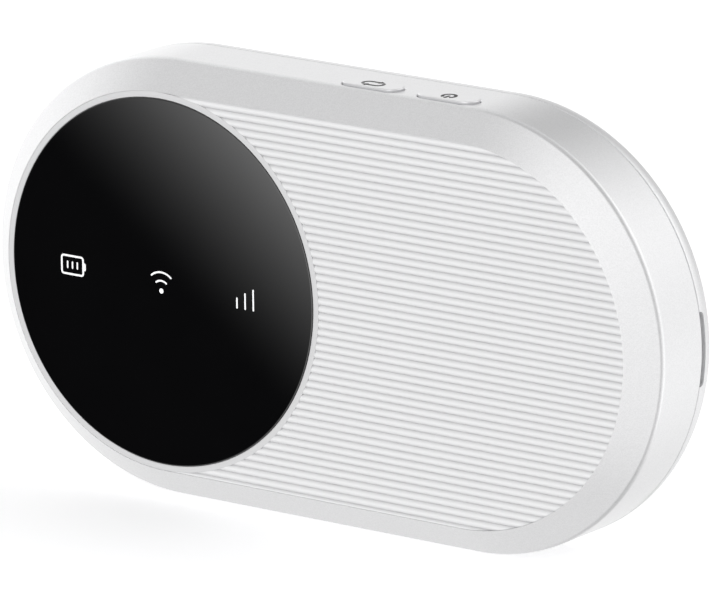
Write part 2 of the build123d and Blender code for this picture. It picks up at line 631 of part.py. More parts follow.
pairing_switch, pairing_plunger = make_key_switch(PAIRING_X)
power_switch, power_plunger = make_key_switch(POWER_X)
reset_switch, reset_plunger = make_reset()
pieces = {
    "front_shell": make_front_shell(),
    "ribbed_panel": make_ribbed_panel(),
    "pairing_button": make_key(PAIRING_X),
    "power_button": make_key(POWER_X),
    "pairing_switch": pairing_switch,
    "pairing_plunger": pairing_plunger,
    "power_switch": power_switch,
    "power_plunger": power_plunger,
    "reset_switch": reset_switch,
    "reset_plunger": reset_plunger,
    "main_board": make_main_board(),
    "mid_frame": make_mid_frame(),
    "chassis_screws": make_screws(),
    "battery_pads": make_battery_pads(),
    "rear_cover": make_rear_cover(),
}
for group in (make_display(), make_lights(), make_chips(), make_port(), make_battery(),
              make_sim(), make_antennas()):
    pieces.update(group)

os.makedirs("parts", exist_ok=True)
for name, shape in pieces.items():
    save(name, shape)
print(len(pieces), "pieces written")
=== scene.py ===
# %% [markdown]
# # A pocket mobile hotspot
# The real object is a palm-sized white case standing on its long side: a bevelled front with a
# ribbed panel and a round black lens, two keys on top, and a cover that pulls off the back.
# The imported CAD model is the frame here. The parts that the eye rests on are modelled again with
# finer edges, and every other part keeps its CAD shape and gets a material of its own.
# Lengths are written in millimetres and turned into Blender's metres by `mm`.

import math

import bmesh
import bpy
from mathutils import Matrix, Vector


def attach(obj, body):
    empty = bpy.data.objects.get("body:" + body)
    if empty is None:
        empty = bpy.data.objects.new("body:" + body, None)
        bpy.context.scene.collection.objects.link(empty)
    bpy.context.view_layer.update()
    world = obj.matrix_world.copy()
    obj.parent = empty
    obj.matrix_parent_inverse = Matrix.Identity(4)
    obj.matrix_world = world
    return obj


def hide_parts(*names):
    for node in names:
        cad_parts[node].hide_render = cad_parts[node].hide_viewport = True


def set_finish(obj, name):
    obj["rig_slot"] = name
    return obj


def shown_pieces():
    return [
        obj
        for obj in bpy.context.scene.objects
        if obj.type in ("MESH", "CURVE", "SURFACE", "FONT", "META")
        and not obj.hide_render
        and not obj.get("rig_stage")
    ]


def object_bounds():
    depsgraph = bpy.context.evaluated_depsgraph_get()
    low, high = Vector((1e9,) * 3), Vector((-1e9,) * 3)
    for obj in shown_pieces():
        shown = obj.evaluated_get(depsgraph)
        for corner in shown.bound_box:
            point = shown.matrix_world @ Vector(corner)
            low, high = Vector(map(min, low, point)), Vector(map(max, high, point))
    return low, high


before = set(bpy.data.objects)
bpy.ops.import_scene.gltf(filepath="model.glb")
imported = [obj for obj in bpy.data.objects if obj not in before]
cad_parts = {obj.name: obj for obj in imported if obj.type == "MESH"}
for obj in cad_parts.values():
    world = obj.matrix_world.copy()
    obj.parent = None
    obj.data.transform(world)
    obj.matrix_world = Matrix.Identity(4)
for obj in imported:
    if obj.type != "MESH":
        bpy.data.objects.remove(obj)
cad_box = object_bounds()


def mm(*values):
    """Millimetres to metres: one number, or a vector of three."""
    scaled = [value / 1000 for value in values]
    return scaled[0] if len(scaled) == 1 else Vector(scaled)


print("nodes in the frame:", len(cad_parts))

# %% [markdown]
# ## Sizes
# The case is a stadium seen from the front: two half circles joined by straight runs. Every
# section below is written as (distance from the end's centre, depth), so the same two numbers
# describe it all the way round. Depth runs from the front, which is negative, to the back.

# %% Sizes of the case
END_RADIUS = 31.0
END_X = 25.25
MIDDLE_Z = 31.0
FRONT_Y = -9.0
REAR_Y = 9.0

RIM_RADIUS = 26.85
RIM_Y = -8.97
BEVEL_Y = -5.42
SEAM_Y = 3.55
SHELL_INSIDE = 29.4
SHELL_CORE = 21.2
CHAMFER_Y = -4.75
CHAMFER_WIDTH = 1.45
LIP_RADIUS = 30.2
LIP_Y = 2.45
POCKET_Y = -7.25
WALL_REAR_Y = -6.0

COVER_Y = 3.65
COVER_TURN_Y = 4.1
COVER_FLAT_RADIUS = 24.3
COVER_CORE = 22.8
COVER_INSIDE = 29.5
COVER_CEILING_Y = 7.5
TONGUE_RADIUS = 30.15

PANEL_RADIUS = 26.83
CREST_Y = -8.85
RIB_COUNT = 49
LAST_RIB_SHOWS = 0.42
RIB_HEIGHT = 0.33
LAND_Y = -8.86
LENS_RADIUS = 25.95
LENS_POCKET = 26.0
LENS_POCKET_Y = -7.85
LENS_REAR_Y = -8.0
LENS_EDGE = 0.18

KEY_Y = -3.3
KEY_TOP_Z = 62.35
KEY_LENGTH = 9.6
KEY_WIDTH = 3.5
KEY_EDGE = 0.14
KEY_ROOT_DEPTH = 1.7
STEM_FOOT_Z = 56.3
KEY_XS = {"pairing": 7.2, "power": 19.85}

# A rounded edge is the width taken off each side of it and its number of segments.
RIM_EDGE = (0.09, 3)
CREASE = (0.52, 8)
SEAM_EDGE = (0.12, 3)
LIP_EDGE = (0.1, 2)

END_STEPS = 96
print("case:", 2 * (END_X + END_RADIUS), "x", REAR_Y - FRONT_Y, "x", 2 * END_RADIUS, "mm")

# %% [markdown]
# ## Mesh helpers
# Each piece starts as a few vertices or a basic shape in a bmesh, and operators do the rest.
# `finish_piece` turns it into an object, keeps flat faces flat beside rounded edges with
# weighted normals, puts it on the body that carries it, gives it its slot, and hides the CAD
# node it stands for.


# %% Turning a bmesh into a piece
def linked_object(bm, name):
    """An object in the scene made from the bmesh, which is used up."""
    mesh = bpy.data.meshes.new(name)
    bm.to_mesh(mesh)
    bm.free()
    made = bpy.data.objects.new(name, mesh)
    bpy.context.scene.collection.objects.link(made)
    return made


def finish_piece(bm, name, body, slot, stands_for=None, sharp=35):
    """An object from the bmesh, riding on a body. Edges sharper than `sharp` degrees stay crisp."""
    bmesh.ops.remove_doubles(bm, verts=bm.verts, dist=mm(0.0005))
    piece = linked_object(bm, name)
    piece.data.shade_smooth()
    piece.data.set_sharp_from_angle(angle=math.radians(sharp))
    weighted = piece.modifiers.new("Weighted normals", "WEIGHTED_NORMAL")
    weighted.keep_sharp = True
    apply_modifiers(piece)
    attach(piece, body)
    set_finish(piece, slot)
    if stands_for:
        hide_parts(stands_for)
    print(name, "has", len(piece.data.polygons), "faces")
    return piece


def apply_modifiers(piece):
    """Replaces the piece's mesh by what its modifiers make of it."""
    depsgraph = bpy.context.evaluated_depsgraph_get()
    shaped = bpy.data.meshes.new_from_object(piece.evaluated_get(depsgraph))
    piece.modifiers.clear()
    piece.data = shaped


def combined(bm, cutters, operation="DIFFERENCE"):
    """The bmesh after each cutter, itself a bmesh, has been taken out of it or kept in common."""
    body = linked_object(bm, "stand-in")
    tools = [linked_object(cutter, "stand-in") for cutter in cutters]
    for tool in tools:
        step = body.modifiers.new("Cut", "BOOLEAN")
        step.operation = operation
        step.solver = "EXACT"
        step.object = tool
    apply_modifiers(body)
    result = bmesh.new()
    result.from_mesh(body.data)
    for made in [body] + tools:
        bpy.data.objects.remove(made)
    return result


def points_among(parts):
    """The vertices among the parts that an operator gives back."""
    return [part for part in parts if isinstance(part, bmesh.types.BMVert)]


def move(bm, x, y, z, points=None):
    """Moves these points of the bmesh, or all of them, by so many millimetres."""
    bmesh.ops.translate(bm, verts=points or bm.verts, vec=mm(x, y, z))


def round_edges(bm, edges, width, segments, clamp=False):
    """Rounds edges: `width` is taken off each side, in millimetres."""
    bmesh.ops.bevel(bm, geom=edges, offset=mm(width), segments=segments, profile=0.5,
                    affect="EDGES", material=-1, clamp_overlap=clamp)


print("piece helpers ready")


# %% [markdown]
# The case's walls are one section carried round the stadium. The section's corners start at the
# lowest point of the right end. Spin takes them up round the end, extrude takes them along the
# top, and the same two operators bring them back. Each corner leaves a rail of edges behind it,
# and those rails can be rounded afterwards with bevel, exactly as an edge is in the editor.


# %% Carrying a section round the case
def carry_round(corners):
    """A bmesh from section corners (radius, depth), and each corner's rail number on its vertices."""
    bm = bmesh.new()
    rail = bm.verts.layers.int.new("rail")
    ring = []
    for number, (radius, depth) in enumerate(corners):
        vertex = bm.verts.new(mm(END_X, depth, MIDDLE_Z - radius))
        vertex[rail] = number + 1
        ring.append(vertex)
    moving = ring + [bm.edges.new(pair) for pair in zip(ring, ring[1:])]
    for side in (1, -1):
        spun = bmesh.ops.spin(bm, geom=moving, cent=mm(side * END_X, 0, MIDDLE_Z), axis=(0, -1, 0),
                              angle=math.pi, steps=END_STEPS, use_duplicate=False)
        moving = spun["geom_last"]
        lines = [part for part in moving if isinstance(part, bmesh.types.BMEdge)]
        run = bmesh.ops.extrude_edge_only(bm, edges=lines)["geom"]
        moving = [part for part in run if not isinstance(part, bmesh.types.BMFace)]
        move(bm, -side * 2 * END_X, 0, 0, points_among(moving))
    bmesh.ops.remove_doubles(bm, verts=bm.verts, dist=mm(0.001))
    return bm, rail


def rail_edges(bm, rail, number):
    """The edges that one section corner, counted from 1, drew round the case."""
    return [edge for edge in bm.edges
            if all(vertex[rail] == number for vertex in edge.verts)]


def close_and_turn_out(bm):
    """Fills the flat middles and points every face outwards."""
    open_edges = [edge for edge in bm.edges if edge.is_boundary]
    bmesh.ops.holes_fill(bm, edges=open_edges, sides=0)
    bmesh.ops.recalc_face_normals(bm, faces=bm.faces)


def round_rails(bm, rail, sizes):
    """Rounds rails: `sizes` maps a corner number to (width taken off each side, segments)."""
    for number, (width, segments) in sizes.items():
        round_edges(bm, rail_edges(bm, rail, number), width, segments, clamp=True)


print("section helpers ready")

# %% [markdown]
# Holes and keys share one outline, an obround: a circle cut in half and pulled apart. `obround`
# makes it as a flat face that looks up, and `raise_face` pulls it up into a prism. Slots start
# as boxes, and the lens and the land round it as discs.


# %% Obrounds, prisms, boxes and plates
def obround(length, width, steps=24):
    """A flat obround face in the XY plane, in millimetres, centred on the origin."""
    bm = bmesh.new()
    bmesh.ops.create_circle(bm, cap_ends=True, segments=2 * steps, radius=mm(width / 2))
    bmesh.ops.rotate(bm, verts=bm.verts, matrix=Matrix.Rotation(math.pi / 2 / steps, 3, "Z"))
    for vertex in bm.verts:
        vertex.co.x += math.copysign(mm((length - width) / 2), vertex.co.x)
    return bm


def raise_face(bm, height):
    """Extrudes the bmesh's only face upwards, into a prism."""
    start = list(bm.faces)
    made = bmesh.ops.extrude_face_region(bm, geom=start, use_keep_orig=True)["geom"]
    move(bm, 0, 0, height, points_among(made))
    bmesh.ops.recalc_face_normals(bm, faces=bm.faces)
    return bm


def block(width, depth, height):
    """A box centred on the origin."""
    bm = bmesh.new()
    bmesh.ops.create_cube(bm, size=mm(1), matrix=Matrix.Diagonal((width, depth, height, 1)))
    return bm


def plate(radius, front, rear):
    """A solid stadium plate between two depths."""
    bm, rail = carry_round([(radius, front), (radius, rear)])
    close_and_turn_out(bm)
    return bm


print("shape helpers ready")

# %% [markdown]
# ## The front shell
# On the real object this is one painted moulding: a flat pocket for the panel, a wide bevel, a
# rounded crease and a straight side wall that ends at the seam. Its section has eleven corners.
# The crease is the edge the light plays on, so its rail gets eight bevel segments. The rim, the
# seam edge and the lip get two or three small ones, because no moulded edge is perfectly sharp.

# %% Front shell: walls
shell_section = [
    (SHELL_CORE, POCKET_Y), (RIM_RADIUS, POCKET_Y), (RIM_RADIUS, RIM_Y), (END_RADIUS, BEVEL_Y),
    (END_RADIUS, SEAM_Y), (LIP_RADIUS, SEAM_Y), (LIP_RADIUS, LIP_Y), (SHELL_INSIDE, LIP_Y),
    (SHELL_INSIDE, CHAMFER_Y), (SHELL_INSIDE - CHAMFER_WIDTH, WALL_REAR_Y),
    (SHELL_CORE, WALL_REAR_Y),
]
shell, shell_rails = carry_round(shell_section)
round_rails(shell, shell_rails, {3: RIM_EDGE, 4: CREASE, 5: SEAM_EDGE, 6: LIP_EDGE})
close_and_turn_out(shell)
print("shell walls:", len(shell.faces), "faces")


# %% Front shell: openings for the keys, the port and the lights
def key_opening(x):
    """Cutters for one key's opening: a straight one, and one that flares at the case's surface."""
    gap = 0.1
    edge = 0.12
    depth = 2.5
    past_surface = 0.02
    straight = raise_face(obround(KEY_LENGTH + 2 * gap, KEY_WIDTH + 2 * gap), depth + 0.5)
    flare = raise_face(obround(KEY_LENGTH + 2 * gap, KEY_WIDTH + 2 * gap), edge)
    upper = [vertex for vertex in flare.verts if vertex.co.z > mm(edge / 2)]
    for vertex in upper:
        vertex.co.x += math.copysign(mm(edge), vertex.co.x)
        vertex.co.y *= 1 + 2 * edge / KEY_WIDTH
    move(flare, 0, 0, past_surface, upper)
    move(straight, x, KEY_Y, 2 * MIDDLE_Z - depth)
    move(flare, x, KEY_Y, 2 * MIDDLE_Z - edge)
    return [straight, flare]


def port_opening():
    """A cutter for the port's mouth in the foot of the case."""
    length = 9.34
    width = 3.66
    middle_y = -1.6
    mouth = raise_face(obround(length, width), 4)
    move(mouth, 0, middle_y, -0.5)
    return mouth


def light_window():
    """A cutter for the window behind the lens that the status lights shine through."""
    width = 40.8
    height = 9.8
    corner = 0.8
    window = block(width, 4, height)
    through = [edge for edge in window.edges
               if abs(edge.verts[0].co.y - edge.verts[1].co.y) > mm(1)]
    round_edges(window, through, corner, 4)
    move(window, -END_X, POCKET_Y + 0.6, MIDDLE_Z)
    return window


openings = key_opening(KEY_XS["pairing"]) + key_opening(KEY_XS["power"])
openings += [port_opening(), light_window()]
shell = combined(shell, openings)
finish_piece(shell, "front_case", "housing", "case_white", "front_shell")

# %% [markdown]
# ## The ribbed panel
# The panel is a separate smooth moulding. Each rib is a shallow arc, and two neighbours meet in a
# sharp groove. The grooves, and a painted shade that greys them, draw the thin lines across the
# front. Each arc is spun from a single vertex. The whole row is pulled out sideways, and then kept
# only where a stadium plate overlaps it, so that just a strip of the lowest rib shows. A flat land
# surrounds the lens, and the lens sits in a round pocket.

# %% Ribbed panel
pitch = (2 * PANEL_RADIUS - LAST_RIB_SHOWS) / RIB_COUNT
rib_radius = pitch * pitch / (8 * RIB_HEIGHT) + RIB_HEIGHT / 2
rib_half_angle = math.asin(pitch / 2 / rib_radius)
reach = END_X + PANEL_RADIUS + 1

ribs = bmesh.new()
for number in range(RIB_COUNT + 1):
    middle_z = MIDDLE_Z + PANEL_RADIUS - (number + 0.5) * pitch
    centre = mm(-END_X, CREST_Y + rib_radius, middle_z)
    first = ribs.verts.new(centre + mm(0, -rib_radius * math.cos(rib_half_angle),
                                       -rib_radius * math.sin(rib_half_angle)))
    bmesh.ops.spin(ribs, geom=[first], cent=centre, axis=(-1, 0, 0), angle=2 * rib_half_angle,
                   steps=10, use_duplicate=False)
bmesh.ops.remove_doubles(ribs, verts=ribs.verts, dist=mm(0.001))
crest_line = list(ribs.edges)
low_end = min(ribs.verts, key=lambda vertex: vertex.co.z)
high_end = max(ribs.verts, key=lambda vertex: vertex.co.z)
back = [ribs.verts.new((end.co.x, mm(POCKET_Y), end.co.z)) for end in (low_end, high_end)]
crest_line += [ribs.edges.new((low_end, back[0])), ribs.edges.new((back[0], back[1])),
               ribs.edges.new((back[1], high_end))]
side = bmesh.ops.extrude_edge_only(ribs, edges=crest_line)["geom"]
move(ribs, reach + END_X, 0, 0, points_among(side))
bmesh.ops.holes_fill(ribs, edges=[edge for edge in ribs.edges if edge.is_boundary], sides=0)
bmesh.ops.recalc_face_normals(ribs, faces=ribs.faces)
print("rib block:", len(ribs.faces), "faces, one rib every", round(pitch, 3), "mm")


# %% Ribbed panel: the land and the lens's pocket
def disc(radius, front, rear, steps=128):
    """A solid disc round the lens's middle, facing the front, between two depths."""
    bm = bmesh.new()
    turn = Matrix.Translation(mm(-END_X, front, MIDDLE_Z)) @ Matrix.Rotation(math.pi / 2, 4, "X")
    bmesh.ops.create_circle(bm, cap_ends=True, segments=steps, radius=mm(radius), matrix=turn)
    made = bmesh.ops.extrude_face_region(bm, geom=list(bm.faces), use_keep_orig=True)["geom"]
    move(bm, 0, rear - front, 0, points_among(made))
    bmesh.ops.recalc_face_normals(bm, faces=bm.faces)
    return bm


panel = combined(ribs, [plate(PANEL_RADIUS, CREST_Y - 0.5, POCKET_Y + 0.01)], "INTERSECT")
panel = combined(panel, [disc(PANEL_RADIUS, LAND_Y, POCKET_Y, steps=2 * END_STEPS)], "UNION")
panel = combined(panel, [disc(LENS_POCKET, FRONT_Y - 1, LENS_POCKET_Y)])
finish_piece(panel, "ribbed_face", "housing", "panel_white", "ribbed_panel", sharp=30)

# %% [markdown]
# ## The lens
# A glossy black disc, taped into the pocket. Its ground edge catches a thin line of light, so
# the front rim gets a rounded bevel of its own.

# %% Lens
glass = disc(LENS_RADIUS, FRONT_Y, LENS_REAR_Y, steps=192)
rim = [edge for edge in glass.edges
       if all(vertex.co.y < mm(FRONT_Y + 0.01) for vertex in edge.verts)]
round_edges(glass, rim, LENS_EDGE, 4)
finish_piece(glass, "lens_glass", "housing", "lens_black", "display_lens")

# %% [markdown]
# ## The rear cover
# The cover is the same stadium, with a straight start at the seam and then a wide elliptical
# round into a flat back. The ellipse is a circle squashed in depth: a vertex is spun a quarter
# turn, and the arc is scaled before it is carried round. A tongue reaches into the front shell.

# %% Rear cover
def quarter_round(radius, turn_y, width, depth, steps):
    """Section corners (radius, depth) along a quarter of an ellipse, from its straight side."""
    arc = bmesh.new()
    first = arc.verts.new((width, 0, 0))
    bmesh.ops.spin(arc, geom=[first], cent=(0, 0, 0), axis=(0, 0, 1), angle=math.pi / 2,
                   steps=steps, use_duplicate=False)
    bmesh.ops.scale(arc, verts=arc.verts, vec=(1, depth / width, 1))
    points = sorted((-vertex.co.x, vertex.co.y) for vertex in arc.verts)
    arc.free()
    return [(radius - x, turn_y + y) for x, y in points]


outer = quarter_round(COVER_FLAT_RADIUS, COVER_TURN_Y, END_RADIUS - COVER_FLAT_RADIUS,
                      REAR_Y - COVER_TURN_Y, 20)
inner = quarter_round(COVER_FLAT_RADIUS, COVER_TURN_Y, COVER_INSIDE - COVER_FLAT_RADIUS,
                      COVER_CEILING_Y - COVER_TURN_Y, 6)
cover_section = [(END_RADIUS, COVER_Y)] + outer + [(COVER_CORE, REAR_Y)]
cover_section += [(COVER_CORE, COVER_CEILING_Y)] + inner[::-1]
cover_section += [(COVER_INSIDE, LIP_Y), (TONGUE_RADIUS, LIP_Y), (TONGUE_RADIUS, COVER_Y)]
cover_section = cover_section[len(outer) + 2:] + cover_section[:len(outer) + 2]
seam_corner = len(cover_section) - len(outer) - 1
cover, cover_rails = carry_round(cover_section)
round_rails(cover, cover_rails, {seam_corner: SEAM_EDGE})
close_and_turn_out(cover)
print("cover walls:", len(cover.faces), "faces")


# %% Rear cover: the pry notch at its right end
def pry_notch():
    """A cutter for the thumbnail notch, kept outside the radius where the notch's floor is."""
    depth = 1.0
    width = 0.75
    past_seam = 0.5
    length = 10.4
    corner = 0.6
    slot = block(20, width + past_seam, length)
    deep = [edge for edge in slot.edges
            if all(vertex.co.y > 0 for vertex in edge.verts)
            and abs(edge.verts[0].co.x - edge.verts[1].co.x) > mm(1)]
    round_edges(slot, deep, corner, 5)
    move(slot, 60, COVER_Y + (width - past_seam) / 2, MIDDLE_Z)
    return combined(slot, [plate(END_RADIUS - depth, 0, REAR_Y)])


cover = combined(cover, [pry_notch()])
finish_piece(cover, "cover_case", "cover", "case_white", "rear_cover")

# %% [markdown]
# ## The keys
# Two obround caps stand 0.35 mm out of the top. The cap's upper edge is rounded,
# wings under the case stop it from falling out, and a stem reaches down to its switch.

# %% Keys
def make_key_cap(side):
    """One key: cap, wings and stem, joined as one moulding."""
    wing_reach = 1.1
    wing_width = 2.4
    wing_thickness = 0.9
    wing_drop = 0.4
    stem_width = 1.2
    x = KEY_XS[side]
    root = 2 * MIDDLE_Z - KEY_ROOT_DEPTH
    cap = raise_face(obround(KEY_LENGTH, KEY_WIDTH), KEY_TOP_Z - root)
    move(cap, x, KEY_Y, root)
    top = [edge for edge in cap.edges
           if all(vertex.co.z > mm(KEY_TOP_Z - 0.01) for vertex in edge.verts)]
    round_edges(cap, top, KEY_EDGE, 4)
    wings = block(KEY_LENGTH + 2 * wing_reach, wing_width, wing_thickness)
    round_edges(wings, list(wings.edges), 0.15, 2)
    move(wings, x, KEY_Y, root - wing_drop)
    stem = raise_face(obround(stem_width, stem_width, steps=12), root - STEM_FOOT_Z)
    move(stem, x, KEY_Y, STEM_FOOT_Z)
    cap = combined(cap, [wings, stem], "UNION")
    finish_piece(cap, side + "_key_cap", side + "_key", "key_white", side + "_button")


for key_side in ("pairing", "power"):
    make_key_cap(key_side)

# %% [markdown]
# ## Printed signs
# The signs are ink two hundredths of a millimetre thick: three white ones on the lens and two
# nearly black ones on the keys. Every stroke is a flat face. A straight stroke is an obround, a
# curved one is a short edge spun about its centre, and the battery's outline is an inset rectangle.


# %% Strokes
INK = 0.02


class Sign:
    """Flat strokes drawn in a sign's own plane, in millimetres, x to the right and y up."""

    def __init__(self):
        self.bm = bmesh.new()

    def add(self, flat, turn=0.0, x=0.0, y=0.0):
        """Joins another bmesh's faces to the sign, turned about its origin and then moved."""
        place = Matrix.Translation(mm(x, y, 0)) @ Matrix.Rotation(turn, 4, "Z")
        flat.transform(place)
        mesh = bpy.data.meshes.new("stroke")
        flat.to_mesh(mesh)
        flat.free()
        self.bm.from_mesh(mesh)
        bpy.data.meshes.remove(mesh)

    def line(self, start, end, width):
        """A straight stroke with round ends."""
        run = Vector(end) - Vector(start)
        middle = (Vector(start) + Vector(end)) / 2
        self.add(obround(run.length + width, width, steps=10), math.atan2(run.y, run.x), *middle)

    def dot(self, centre, radius):
        """A filled round dot."""
        flat = bmesh.new()
        bmesh.ops.create_circle(flat, cap_ends=True, segments=32, radius=mm(radius))
        self.add(flat, 0.0, *centre)

    def arc(self, centre, radius, start, sweep, width):
        """A curved stroke with round ends. Angles are in degrees, from the right, turning left."""
        flat = bmesh.new()
        ends = [flat.verts.new(mm(radius + shift, 0, 0)) for shift in (-width / 2, width / 2)]
        edge = flat.edges.new(ends)
        spun = bmesh.ops.spin(flat, geom=ends + [edge], cent=(0, 0, 0), axis=(0, 0, 1),
                              angle=math.radians(sweep), steps=max(6, int(abs(sweep) / 6)),
                              use_duplicate=False)
        for tip in (ends, points_among(spun["geom_last"])):
            bmesh.ops.bevel(flat, geom=tip, offset=mm(width * 0.49), segments=4, profile=0.5,
                            affect="VERTICES", material=-1)
        bmesh.ops.remove_doubles(flat, verts=flat.verts, dist=mm(0.004))
        self.add(flat, math.radians(start), *centre)

    def outline(self, width, height, corner, stroke):
        """A rounded rectangle drawn as a line: one face with round corners, inset and opened."""
        flat = bmesh.new()
        bmesh.ops.create_grid(flat, x_segments=1, y_segments=1, size=0.5)
        bmesh.ops.scale(flat, verts=flat.verts, vec=mm(width, height, 1))
        bmesh.ops.bevel(flat, geom=list(flat.verts), offset=mm(corner), segments=6, profile=0.5,
                        affect="VERTICES", material=-1)
        middle = list(flat.faces)
        bmesh.ops.inset_region(flat, faces=middle, thickness=mm(stroke), use_even_offset=True,
                               use_boundary=True)
        bmesh.ops.delete(flat, geom=middle, context="FACES_ONLY")
        self.add(flat)

    def arrowhead(self, centre, direction, size):
        """A filled triangle whose point looks along a direction in degrees."""
        flat = bmesh.new()
        bmesh.ops.create_circle(flat, cap_ends=True, segments=3, radius=mm(size))
        tip = max(flat.verts, key=lambda vertex: vertex.co.y)
        turn = math.radians(direction) - math.atan2(tip.co.y, tip.co.x)
        self.add(flat, turn, *centre)

    def piece(self, name, body, slot, place):
        """Gives the strokes their thickness, puts them on the object and makes a piece of them."""
        for face in self.bm.faces:
            face.normal_update()
            if face.normal.z < 0:
                face.normal_flip()
        made = bmesh.ops.extrude_face_region(self.bm, geom=list(self.bm.faces))
        move(self.bm, 0, 0, INK, points_among(made["geom"]))
        self.bm.transform(place)
        return finish_piece(self.bm, name, body, slot)


def on_lens(x, z=0.0):
    """Where a sign's plane lies on the lens, from the sign's centre, seen from the front."""
    upright = Matrix.Rotation(math.pi / 2, 4, "X")
    return Matrix.Translation(mm(x, FRONT_Y + INK / 4, MIDDLE_Z + z)) @ upright


def on_key(side):
    """Where a sign's plane lies on a key's top, read from behind the object."""
    turned = Matrix.Rotation(math.pi, 4, "Z")
    return Matrix.Translation(mm(KEY_XS[side], KEY_Y, KEY_TOP_Z - INK / 4)) @ turned


print("sign tools ready")

# %% Signs on the lens
SIGN_STROKE = 0.25
BATTERY_STROKE = 0.28

battery = Sign()
battery.outline(4.02, 2.87, 0.5, BATTERY_STROKE)
battery.line((2.12, -0.35), (2.12, 0.35), 0.42)
for x in (-0.85, 0, 0.85):
    battery.line((x, -0.4), (x, 0.42), SIGN_STROKE)
battery.piece("battery_sign", "housing", "light_white", on_lens(-40.75, 0.175))

wireless = Sign()
wireless.dot((0, -1.2), 0.36)
for radius in (1.45, 2.65):
    wireless.arc((0, -1.2), radius, 48, 84, SIGN_STROKE)
wireless.piece("wireless_sign", "housing", "light_white", on_lens(-END_X))

signal = Sign()
for x, top in ((-1.4, -0.29), (0, 0.51), (1.4, 1.21)):
    signal.line((x, -1.61), (x, top), SIGN_STROKE)
signal.piece("signal_sign", "housing", "light_white", on_lens(-10.8))

# %% Signs on the keys
GLYPH_STROKE = 0.48
POWER_RADIUS = 0.92
LOOP_RADIUS = 0.85
LOOP_REACH = 0.75

power = Sign()
power.arc((0, 0), POWER_RADIUS, 122, 296, GLYPH_STROKE)
power.line((0, 0.05), (0, 1.0), GLYPH_STROKE)
power_sign = power.piece("power_sign", "power_key", "key_white", on_key("power"))

pairing = Sign()
for side, start in ((1, -90), (-1, 90)):
    pairing.arc((side * LOOP_REACH, 0), LOOP_RADIUS, start, 125, GLYPH_STROKE)
    pairing.line((side * LOOP_REACH, -side * LOOP_RADIUS), (-side * 0.45, -side * LOOP_RADIUS),
                 GLYPH_STROKE)
    pairing.arrowhead((-side * 0.8, -side * LOOP_RADIUS), start - 90, 0.6)
pairing_sign = pairing.piece("pairing_sign", "pairing_key", "key_white", on_key("pairing"))

# %% [markdown]
# ## Materials
# Every material is built from nodes by two small classes. `Value` wraps one socket, so that an
# expression such as `1 - mask` adds its own Math node. `Finish` is a material being made, and
# its `node` method adds any other node from its type, its settings and its inputs.


# %% Shader classes
class Value:
    """One socket that carries a number, a colour or a vector."""

    def __init__(self, finish, socket):
        self.finish = finish
        self.socket = socket

    def math(self, operation, *inputs):
        """Adds a Math node, or does so for one of the operators below."""
        return self.finish.node("ShaderNodeMath", {"operation": operation}, inputs)

    def __add__(self, other):
        return self.math("ADD", self, other)

    def __sub__(self, other):
        return self.math("SUBTRACT", self, other)

    def __rsub__(self, other):
        return self.math("SUBTRACT", other, self)

    def __mul__(self, other):
        return self.math("MULTIPLY", self, other)

    def __truediv__(self, other):
        return self.math("DIVIDE", self, other)

    __radd__ = __add__

    def power(self, exponent):
        return self.math("POWER", self, exponent)

    def at_least(self, limit):
        return self.math("MAXIMUM", self, limit)

    def at_most(self, limit):
        return self.math("MINIMUM", self, limit)

    def over(self, limit):
        """1 where the value is above the limit, otherwise 0."""
        return self.math("GREATER_THAN", self, limit)

    def under(self, limit):
        """1 where the value is below the limit, otherwise 0."""
        return self.math("LESS_THAN", self, limit)


